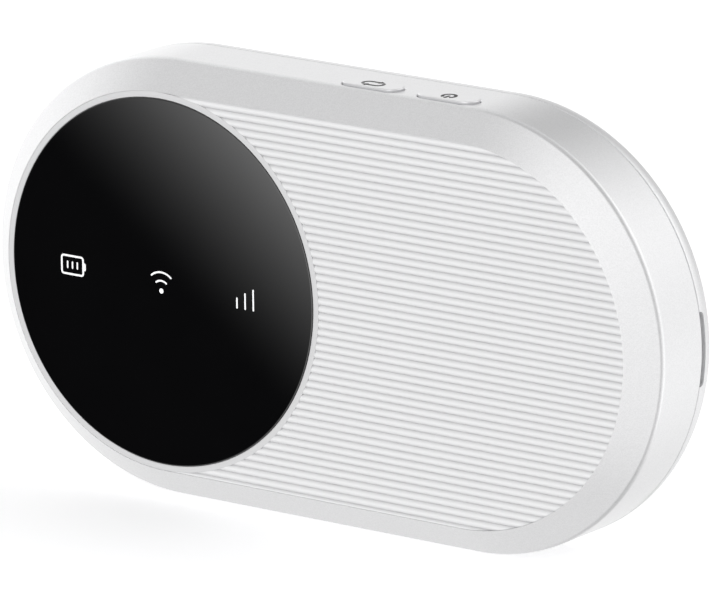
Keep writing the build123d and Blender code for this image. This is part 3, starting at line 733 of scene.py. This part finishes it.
class Finish:
    """A material, or the world, while its nodes are being made."""

    def __init__(self, owner):
        owner.use_nodes = True
        self.owner = owner
        self.tree = owner.node_tree
        self.tree.nodes.clear()

    def node(self, kind, settings=None, inputs=(), output=0):
        """Adds a node: settings first, then its sockets' numbers, colours or links."""
        made = self.tree.nodes.new(kind)
        for setting, value in (settings or {}).items():
            if setting == "stops":
                for place, shade in value[2:]:
                    made.color_ramp.elements.new(place)
                for stop, (place, shade) in zip(made.color_ramp.elements, value):
                    stop.position = place
                    stop.color = (shade, shade, shade, 1)
            else:
                setattr(made, setting, value)
        for key, value in (inputs.items() if isinstance(inputs, dict) else enumerate(inputs)):
            if isinstance(value, Value):
                self.tree.links.new(value.socket, made.inputs[key])
            else:
                made.inputs[key].default_value = value
        return Value(self, made.outputs[output]) if made.outputs else None

    def place(self, centre=(0, 0, 0), scale=(1, 1, 1)):
        """The object's own coordinates in millimetres from a centre, and scaled."""
        coordinates = self.node("ShaderNodeTexCoord", output=3)
        sizes = [1000 * value for value in scale]
        start = [-middle * size / 1000 for middle, size in zip(centre, sizes)]
        return self.node("ShaderNodeMapping", {}, {"Vector": coordinates, "Location": start,
                                                   "Scale": sizes})

    def noise(self, size, detail=2.0, where=None):
        """Noise whose spots are about `size` millimetres across, from 0 to 1."""
        return self.node("ShaderNodeTexNoise", {}, {"Vector": where or self.place(),
                                                    "Scale": 1 / size, "Detail": detail})

    def mix(self, mask, low, high):
        """The colour `low` where the mask is 0, and `high` where it is 1."""
        return self.node("ShaderNodeMix", {"data_type": "RGBA"}, {0: mask, 6: low, 7: high}, 2)

    def ramp(self, value, *stops):
        """The value sent through a ramp of (place, grey) stops."""
        return self.node("ShaderNodeValToRGB", {"stops": stops}, {0: value})

    def bump(self, height, depth, normal=None):
        """A bump whose full height is `depth` millimetres."""
        inputs = {"Height": height, "Distance": depth / 1000, "Strength": 1.0}
        if normal:
            inputs["Normal"] = normal
        return self.node("ShaderNodeBump", {}, inputs)

    def soft_edges(self, radius):
        """Normals rounded over `radius` millimetres at sharp edges."""
        return self.node("ShaderNodeBevel", {"samples": 4}, {"Radius": radius / 1000})

    def surface(self, **sockets):
        """Ends the material in a Principled BSDF with these sockets."""
        named = {key.replace("_", " "): value for key, value in sockets.items()}
        shader = self.node("ShaderNodeBsdfPrincipled", {}, named)
        self.node("ShaderNodeOutputMaterial", {}, {"Surface": shader})
        return self.owner


def tint(red, green, blue):
    """A colour as a display shows it, 0 to 255, turned into Blender's linear colour."""
    linear = []
    for part in (red, green, blue):
        share = part / 255
        linear.append(share / 12.92 if share <= 0.04045 else ((share + 0.055) / 1.055) ** 2.4)
    return (*linear, 1)


def new_finish(name):
    return Finish(bpy.data.materials.new(name))


print("shader classes ready")

# %% [markdown]
# ## White paint and white plastic
# The case is painted with a pearl white: a plain coat with fine mica flakes in it. The flakes
# make it partly metallic, so the bevel changes with the light more than plain plastic would, and
# they leave a grain that is only just visible. A painted shade greys the coat towards the flat
# back, which would turn pure white in this studio. The keys have the same paint on top and a grey
# painted shade on their sides, which reads as a thin shadow line round them. The panel is bare
# plastic. A painted shade greys it down in the grooves, where little light gets in, and it is
# greyer on the flat land round the lens.


# %% White paint and white plastic
# Lengths are in millimetres. A coat is a clear layer on top of the paint.
PAINT_METALLIC = 0.5
PAINT_ROUGHNESS = 0.3
PAINT_GRAIN = 0.11
FLAKE_SIZE = 0.14
COAT = {"Coat_Weight": 0.15, "Coat_Roughness": 0.3}
# Painted shade: at the flat back the case's colour keeps this share.
BACK_SHARE = 0.84
# The painted shade on a key's sides starts this far below its top.
SIDE_SHADE_DEPTH = 0.13
MOTTLE_SIZE = 6.0
PANEL_ROUGHNESS = 0.55
PLAIN_EDGE = 0.15


def white_paint(name, colour, grain_contrast):
    """Pearl paint: fine bright and dark flakes, a slight orange peel, and a satin clear coat."""
    finish = new_finish(name)
    grain = finish.noise(PAINT_GRAIN, detail=1.0)
    flakes = finish.node("ShaderNodeTexVoronoi", {},
                         {"Vector": finish.place(), "Scale": 1 / FLAKE_SIZE}, "Color")
    flake = finish.node("ShaderNodeSeparateColor", {}, {0: flakes})
    shade = (grain - 0.5) * 0.9 + (flake - 0.5) * 0.35
    mask = finish.ramp(shade + 0.5, (0.25, 0.0), (0.75, 1.0))
    darker = [part * (1 - grain_contrast) for part in colour[:3]] + [1]
    lighter = [min(part * (1 + grain_contrast), 1) for part in colour[:3]] + [1]
    peel = finish.noise(0.9, detail=2.0)
    relief = finish.bump(grain, 0.006, normal=finish.bump(peel, 0.01))
    gloss = (peel - 0.5) * 0.05 + PAINT_ROUGHNESS
    painted = finish.mix(mask, darker, lighter)
    # Painted shade: the colour greys towards the flat back, which this studio's lights would turn
    # pure white.
    depth = finish.node("ShaderNodeSeparateXYZ", {}, [finish.place(centre=(0, COVER_TURN_Y, 0))],
                        "Y")
    rear = (depth / (REAR_Y - COVER_TURN_Y)).at_least(0.0).at_most(1.0).power(2.0)
    flat_back = [part * BACK_SHARE for part in colour[:3]] + [1]
    return finish.surface(Base_Color=finish.mix(rear, painted, flat_back),
                          Metallic=PAINT_METALLIC, Roughness=gloss, Normal=relief, **COAT)


def key_paint(name, colour, side_shade_colour):
    """The case's paint on a key's top, and a grey painted shade on its sides for the shadow line
    round it.
    """
    finish = new_finish(name)
    grain = finish.noise(PAINT_GRAIN, detail=1.0)
    height = finish.node("ShaderNodeSeparateXYZ", {}, [finish.place()], "Z")
    # Painted shade: below the top band the key's sides turn grey, as the shadow line round the key.
    painted = height.over(KEY_TOP_Z - SIDE_SHADE_DEPTH)
    return finish.surface(Base_Color=finish.mix(painted, side_shade_colour, colour),
                          Metallic=painted * PAINT_METALLIC,
                          Roughness=PAINT_ROUGHNESS + (grain - 0.5) * 0.04,
                          Normal=finish.bump(grain, 0.004), **COAT)


def bare_plastic(finish, mottle, colour, roughness):
    """Ends a material as bare moulded plastic, with small changes of gloss and a fine grain."""
    grain = finish.noise(0.2, detail=1.0)
    return finish.surface(Base_Color=colour, Roughness=(mottle - 0.5) * 0.08 + roughness,
                          Normal=finish.bump(grain, 0.002), IOR=1.5)


def white_plastic(name, colour, roughness):
    """Bare plastic in an even colour with a faint mottle."""
    finish = new_finish(name)
    mottle = finish.noise(MOTTLE_SIZE, detail=3.0)
    darker = [part * 0.975 for part in colour[:3]] + [1]
    return bare_plastic(finish, mottle, finish.mix(mottle, darker, colour), roughness)


def panel_plastic(name, crest_colour, groove_shade_colour, land_colour):
    """The panel's matte plastic, with painted shade greying the grooves by depth, but for a strip at
    the edge.
    """
    finish = new_finish(name)
    mottle = finish.noise(MOTTLE_SIZE, detail=3.0)
    depth = finish.node("ShaderNodeSeparateXYZ", {}, [finish.place(centre=(0, CREST_Y, 0))], "Y")
    # Painted shade: the colour greys with depth into each groove, except in a strip at the edge.
    shade = (depth / RIB_HEIGHT).at_least(0.0).at_most(1.0).power(0.7) + (mottle - 0.5) * 0.06
    height = finish.node("ShaderNodeSeparateXYZ", {}, [finish.place((0, 0, MIDDLE_Z))], "Z")
    shade = shade * height.math("ABSOLUTE", height).under(PANEL_RADIUS - PLAIN_EDGE)
    ribbed = finish.mix(shade, crest_colour, groove_shade_colour)
    middle = finish.place(centre=(-END_X, 0, MIDDLE_Z), scale=(1, 0, 1))
    away = finish.node("ShaderNodeVectorMath", {"operation": "LENGTH"}, {0: middle}, "Value")
    colour = finish.mix(away.under(PANEL_RADIUS), ribbed, land_colour)
    return bare_plastic(finish, mottle, colour, PANEL_ROUGHNESS)


FINISHES = {
    "case_white": white_paint("case_white", tint(231, 231, 232), 0.05),
    # The keys' second tint is the painted shade on their sides.
    "key_white": key_paint("key_white", tint(232, 232, 233), tint(196, 196, 198)),
    # The panel's second tint is the painted shade in its grooves; the third is its greyer land.
    "panel_white": panel_plastic("panel_white", tint(238, 238, 239), tint(207, 207, 208),
                                 tint(213, 213, 214)),
    "plunger_white": white_plastic("plunger_white", tint(222, 222, 218), 0.5),
}
print("white finishes:", len(FINISHES))

# %% [markdown]
# ## Lens and signs
# The lens is black behind a hard clear coat. Its gloss is broken only by a trace of haze, too
# faint to see except in a mirrored gradient. The signs on it are white ink with a slight glow, and
# the signs on the keys are nearly black.

# %% Lens, signs and ink
lens = new_finish("lens_black")
haze = lens.noise(9.0, detail=4.0)
FINISHES["lens_black"] = lens.surface(
    Base_Color=lens.mix(haze, tint(9, 9, 10), tint(12, 12, 13)), Roughness=haze * 0.02 + 0.03,
    Coat_Weight=haze * 0.1 + 0.9, Coat_Roughness=0.01, IOR=1.5)

glow = new_finish("light_white")
spread = glow.noise(0.6, detail=2.0)
FINISHES["light_white"] = glow.surface(
    Base_Color=glow.mix(spread, tint(232, 233, 235), tint(250, 250, 250)), Roughness=0.4,
    Emission_Color=glow.mix(spread, tint(120, 122, 124), tint(140, 140, 140)),
    Emission_Strength=1.0)

ink = new_finish("key_ink")
wear = ink.noise(0.5, detail=3.0)
key_ink = ink.surface(Base_Color=ink.mix(wear, tint(24, 24, 26), tint(40, 40, 42)),
                      Roughness=wear * 0.2 + 0.45)
print("lens and ink made; finishes:", len(FINISHES))

# %% [markdown]
# ## Inside: plastics
# The chassis, the switches and the port's parts are moulded in plain resins. The chassis has the
# fine pitted texture of a spark-eroded mould. A Bevel node rounds every edge by a few hundredths
# of a millimetre, because the CAD shape's edges are perfectly sharp and real ones catch light.


# %% Resins, tape and foam
def resin(name, colour, grain_size, depth, roughness, edge):
    """Moulded resin: a pitted grain in its colour, gloss and relief."""
    finish = new_finish(name)
    grain = finish.noise(grain_size, detail=3.0)
    patch = finish.noise(grain_size * 30, detail=2.0)
    darker = [part * 0.86 for part in colour[:3]] + [1]
    relief = finish.bump(grain, depth, normal=finish.soft_edges(edge))
    return finish.surface(Base_Color=finish.mix(grain * 0.6 + patch * 0.4, darker, colour),
                          Roughness=(grain - 0.5) * 0.2 + roughness, Normal=relief)


# Each resin is its colour, grain size, grain depth, roughness and edge radius.
RESINS = {
    "chassis_grey": (tint(176, 178, 180), 0.22, 0.02, 0.55, 0.06),
    "port_black": (tint(34, 34, 36), 0.1, 0.004, 0.45, 0.03),
    "block_black": (tint(24, 24, 25), 0.15, 0.01, 0.6, 0.06),
    "switch_black": (tint(30, 30, 32), 0.1, 0.004, 0.4, 0.03),
    "chip_black": (tint(40, 40, 42), 0.12, 0.008, 0.5, 0.03),
    "tape_black": (tint(18, 18, 18), 0.3, 0.02, 0.7, 0.02),
    "film_milky": (tint(226, 228, 230), 0.4, 0.003, 0.6, 0.01),
    "card_white": (tint(238, 238, 236), 0.25, 0.002, 0.35, 0.03),
}
for resin_name, values in RESINS.items():
    FINISHES[resin_name] = resin(resin_name, *values)

foam = new_finish("foam_black")
cells = foam.node("ShaderNodeTexVoronoi", {"feature": "DISTANCE_TO_EDGE"},
                  {"Vector": foam.place(), "Scale": 1 / 0.45})
# Painted shade: the colour is darker down in each pore, away from the cell walls.
pores = foam.ramp(cells, (0.02, 0.0), (0.3, 1.0))
FINISHES["foam_black"] = foam.surface(Base_Color=foam.mix(pores, tint(58, 58, 60), tint(30, 30, 31)),
                                      Roughness=0.9, Normal=foam.bump(1 - pores, 0.08))
print("resins:", len(RESINS), "and a foam")

# %% [markdown]
# ## Inside: metals
# Stamped steel keeps the fine lines of its rolling mill, so its gloss is stretched along one
# direction. Gold and copper are thin platings, with a faint tarnish in patches.


# %% Metals
METAL_EDGE = 0.04


def rolled_metal(name, colour, roughness, stretch, tarnish):
    """Sheet metal: fine lines along X, patches of tarnish and softened edges."""
    finish = new_finish(name)
    lines = finish.noise(0.08, detail=3.0, where=finish.place(scale=(1 / stretch, 1, 1)))
    patch = finish.noise(3.0, detail=4.0)
    dull = [part * (1 - tarnish) for part in colour[:3]] + [1]
    relief = finish.bump(lines, 0.003, normal=finish.soft_edges(METAL_EDGE))
    return finish.surface(Base_Color=finish.mix(patch, dull, colour), Metallic=1.0,
                          Roughness=(lines - 0.5) * 0.15 + patch * 0.1 + roughness - 0.05,
                          Normal=relief)


# Each metal is its colour, roughness, the stretch of its lines and its share of tarnish.
METALS = {
    "port_steel": (tint(200, 201, 204), 0.26, 12.0, 0.12),
    "can_steel": (tint(196, 196, 192), 0.34, 12.0, 0.12),
    "socket_steel": (tint(204, 204, 200), 0.3, 12.0, 0.12),
    "screw_steel": (tint(150, 151, 154), 0.3, 2.0, 0.12),
    "contact_gold": (tint(232, 190, 104), 0.24, 12.0, 0.08),
    "antenna_copper": (tint(206, 138, 98), 0.34, 12.0, 0.2),
}
for metal_name, values in METALS.items():
    FINISHES[metal_name] = rolled_metal(metal_name, *values)
print("metals:", len(METALS))

# %% [markdown]
# ## Inside: circuit board, battery wrap and graphite
# The board's solder mask is a green lacquer over copper lines, so the lines stand up a little and
# look paler. The battery is wrapped in printed film, which shrinks round it with soft ripples.

# %% Board, battery and graphite
board = new_finish("board_green")
runs = board.node("ShaderNodeTexBrick", {"offset": 0.37}, {
    "Vector": board.place(), "Color1": (0, 0, 0, 1), "Color2": (0.2, 0.2, 0.2, 1),
    "Mortar": (1, 1, 1, 1), "Scale": 1.0, "Mortar Size": 0.06, "Brick Width": 2.6,
    "Row Height": 0.7})
lacquer = board.noise(4.0, detail=3.0)
FINISHES["board_green"] = board.surface(
    Base_Color=board.mix(runs, tint(18, 74, 48), tint(44, 112, 72)),
    Roughness=lacquer * 0.15 + 0.28, Normal=board.bump(runs, 0.02), Coat_Weight=0.4)

wrap = new_finish("pack_wrap")
ripple = wrap.noise(7.0, detail=2.0)
fibre = wrap.noise(0.3, detail=3.0)
FINISHES["pack_wrap"] = wrap.surface(
    Base_Color=wrap.mix(ripple * 0.5 + fibre * 0.5, tint(52, 54, 58), tint(66, 68, 72)),
    Roughness=fibre * 0.15 + 0.36,
    Normal=wrap.bump(ripple, 0.05, normal=wrap.bump(fibre, 0.004, normal=wrap.soft_edges(0.1))))

graphite = new_finish("graphite")
sheen = graphite.noise(0.5, detail=4.0, where=graphite.place(scale=(0.3, 1, 1)))
FINISHES["graphite"] = graphite.surface(
    Base_Color=graphite.mix(sheen, tint(52, 53, 55), tint(86, 87, 89)), Metallic=0.6,
    Roughness=sheen * 0.2 + 0.4, Normal=graphite.bump(sheen, 0.01))
print("finishes:", len(FINISHES))

# %% [markdown]
# ## Giving every piece its material
# Each node of the CAD model and each piece made here says by its slot's name which finish it
# gets, so two short loops hand them out. The signs on the keys share the keys' slot, but are ink.

# %% Giving every piece its material
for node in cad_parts.values():
    for material_slot in node.material_slots:
        material_slot.material = FINISHES[material_slot.material.name.split(".")[0]]

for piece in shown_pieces():
    if not piece.material_slots:
        piece.data.materials.append(FINISHES[piece["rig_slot"]])
for sign in (power_sign, pairing_sign):
    sign.data.materials[0] = key_ink
print("materials:", len(FINISHES) + 1)

# %% [markdown]
# ## Studio
# All light comes from the world: sixteen soft lights in named directions, each strongest at its
# middle and fading round it. The camera sees plain white instead. Two darker places shape the
# object. A dark upright band on the right is mirrored by the rounded crease, which draws a thin
# dark line round the right end. A dark patch behind and above greys the side wall's top right.
# The floor shows only the object's soft shadow. The camera alone sees it, so it neither blocks
# the low lights nor shows up in a reflection.

# %% Floor
FLOOR_REACH = 3.0
FLOOR_LIFT = 0.4

floor_mesh = bmesh.new()
bmesh.ops.create_grid(floor_mesh, x_segments=1, y_segments=1, size=FLOOR_REACH)
floor = linked_object(floor_mesh, "floor")
floor.visible_glossy = False
floor.visible_diffuse = False
floor.visible_shadow = False
pale = Finish(bpy.data.materials.new("floor"))
seen = pale.node("ShaderNodeLightPath", output="Is Camera Ray")
matte = pale.node("ShaderNodeBsdfDiffuse", {}, {"Color": tint(244, 244, 245)})
lift = pale.node("ShaderNodeEmission", {}, {"Color": (1, 1, 1, 1), "Strength": seen * FLOOR_LIFT})
both = pale.node("ShaderNodeAddShader", {}, [matte, lift])
pale.node("ShaderNodeOutputMaterial", {}, {"Surface": both})
floor.data.materials.append(pale.owner)
floor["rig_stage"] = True
print("floor:", round(floor.dimensions.x, 1), "m wide")

# %% World
# Each light is its azimuth from the front towards the right, its elevation and its strength.
STUDIO_LIGHTS = {
    "front, low": (0, -25, 0.95),
    "front right, level": (22, 0, 1.13),
    "front, raised": (0, 28, 1.54),
    "front, overhead": (0, 55, 0.23),
    "right, low": (90, -25, 1.54),
    "right, raised": (90, 28, 1.01),
    "behind right, low": (135, -25, 0.81),
    "behind right, raised": (135, 28, 1.09),
    "behind right, overhead": (144, 55, 0.73),
    "behind, low": (180, -25, 0.8),
    "left, level": (-112, 0, 0.8),
    "left, raised": (-90, 28, 0.86),
    "behind left, low": (-135, -25, 0.67),
    "behind left, raised": (-135, 28, 0.8),
    "below, in front": (30, -60, 0.67),
    "below, left": (-90, -60, 0.7),
}
LIGHT_FOCUS = 6.0
# The dark band's half width is the sine of an angle. It fades out towards both poles.
GAP_AZIMUTH = 78
GAP_HALF_WIDTH = 0.42
GAP_FADE = 3.0
GAP_DARKNESS = 0.75
# The dark patch is gathered round its middle by a power, as each light is.
SHADE_AZIMUTH = -158
SHADE_ELEVATION = 34
SHADE_FOCUS = 40.0
SHADE_DARKNESS = 0.6


def towards(azimuth, elevation):
    """The unit vector of a direction: degrees from the front towards the right, and above."""
    turn, rise = math.radians(azimuth), math.radians(elevation)
    return Vector((math.sin(turn) * math.cos(rise), -math.cos(turn) * math.cos(rise),
                   math.sin(rise)))


world = bpy.data.worlds.new("studio")
bpy.context.scene.world = world
air = Finish(world)
direction = air.node("ShaderNodeTexCoord", output="Generated")


def facing(azimuth, elevation):
    """How closely a ray points in one direction: 1 straight at it, and 0 square to it."""
    return air.node("ShaderNodeVectorMath", {"operation": "DOT_PRODUCT"},
                    {0: direction, 1: towards(azimuth, elevation)}, "Value").at_least(0.0)


walls = 0.0
for azimuth, elevation, brightness in STUDIO_LIGHTS.values():
    walls = facing(azimuth, elevation).power(LIGHT_FOCUS) * brightness + walls
beside = facing(GAP_AZIMUTH + 90, 0) + facing(GAP_AZIMUTH - 90, 0)
gap = (1 - (beside / GAP_HALF_WIDTH).power(2.0)).at_least(0.0)
gap = gap * (facing(GAP_AZIMUTH, 0) * GAP_FADE).at_most(1.0)
shade = facing(SHADE_AZIMUTH, SHADE_ELEVATION).power(SHADE_FOCUS) * SHADE_DARKNESS
seen = air.node("ShaderNodeLightPath", output="Is Camera Ray")
strength = walls * (1 - gap * GAP_DARKNESS) * (1 - shade) * (1 - seen) + seen
light = air.node("ShaderNodeBackground", {}, {"Color": (1, 1, 1, 1), "Strength": strength})
air.node("ShaderNodeOutputWorld", {}, {"Surface": light})
print("lights:", len(STUDIO_LIGHTS))

# %% [markdown]
# ## Camera
# A long lens from more than a metre away keeps the case's edges nearly parallel. The camera
# stands in front, on the right and a little above, leans by its roll, and aims beside the case's
# middle by so many millimetres.

# %% Camera
CAMERA_AZIMUTH = 36.81
CAMERA_ELEVATION = 14.9
ROLL = math.radians(-0.67)
DISTANCE = 1318.82
FOCAL_LENGTH = 490.08
AIM_RIGHT = 0.95
AIM_UP = -0.671

back = towards(CAMERA_AZIMUTH, CAMERA_ELEVATION)
right = towards(CAMERA_AZIMUTH + 90, 0)
up = back.cross(right)
rolled_right = math.cos(ROLL) * right + math.sin(ROLL) * up
rolled_up = math.cos(ROLL) * up - math.sin(ROLL) * right
stand = (back * DISTANCE + right * AIM_RIGHT + up * AIM_UP) / 1000 + mm(0, 0, MIDDLE_Z)

camera = bpy.data.objects.new("camera", bpy.data.cameras.new("camera"))
bpy.context.scene.collection.objects.link(camera)
camera.matrix_world = Matrix.Translation(stand) @ Matrix(
    (rolled_right, rolled_up, back)).transposed().to_4x4()
camera.data.sensor_width = 36
camera.data.lens = FOCAL_LENGTH
camera.data.clip_end = 10
bpy.context.scene.camera = camera
bpy.context.scene.view_settings.view_transform = "Standard"
print("camera:", round(DISTANCE), "mm from the object")

# %% [markdown]
# ## The lens's card
# A glossy black disc shows only what it mirrors, and this lens mirrors a point low in front of
# the object, on its left. A card stands there, seen only by glossy rays. It is black up to a line
# beside its middle. From there its light grows by a power of the way along its slope, which is in
# degrees, and that soft gradient is what lights the lens's upper right.

# %% The lens's card
CARD_RADIUS = 42
CARD_AWAY = 120
CARD_SLOPE = 40.7
CARD_START = -1.0
CARD_FADE = 21.0
CARD_CURVE = 2.1
CARD_BRIGHTNESS = 1.2

mirrored = towards(-CAMERA_AZIMUTH, -CAMERA_ELEVATION)
card_right = Vector((-mirrored.y, mirrored.x, 0)).normalized()
card_up = mirrored.cross(card_right)
card_mesh = bmesh.new()
bmesh.ops.create_circle(card_mesh, cap_ends=True, segments=48, radius=mm(CARD_RADIUS))
card = linked_object(card_mesh, "lens_card")
card_middle = mm(-END_X, FRONT_Y, MIDDLE_Z) + mirrored * mm(CARD_AWAY)
card.matrix_world = Matrix.Translation(card_middle) @ Matrix(
    (card_right, card_up, mirrored)).transposed().to_4x4()
card.visible_camera = False
card.visible_diffuse = False
card.visible_shadow = False
card.visible_transmission = False
cloth = Finish(bpy.data.materials.new("lens_card"))
slope = math.radians(CARD_SLOPE)
along = cloth.node("ShaderNodeVectorMath", {"operation": "DOT_PRODUCT"},
                   {0: cloth.place(), 1: (math.cos(slope), math.sin(slope), 0)}, "Value")
rise = ((along - CARD_START) / CARD_FADE).at_least(0.0)
gleam = cloth.node("ShaderNodeEmission", {},
                   {"Color": (1, 1, 1, 1), "Strength": rise.power(CARD_CURVE) * CARD_BRIGHTNESS})
cloth.node("ShaderNodeOutputMaterial", {}, {"Surface": gleam})
card.data.materials.append(cloth.owner)
card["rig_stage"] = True
print("card at", [round(1000 * value) for value in card.matrix_world.translation], "mm")

# %% [markdown]
# The visual pieces stay in the CAD model's box. Both boxes' sizes are printed.

boxes = {"cad": [list(corner) for corner in cad_box],
         "visual": [list(corner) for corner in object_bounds()]}
for name, (low, high) in boxes.items():
    print(name, [round(1000 * (b - a), 3) for a, b in zip(low, high)])
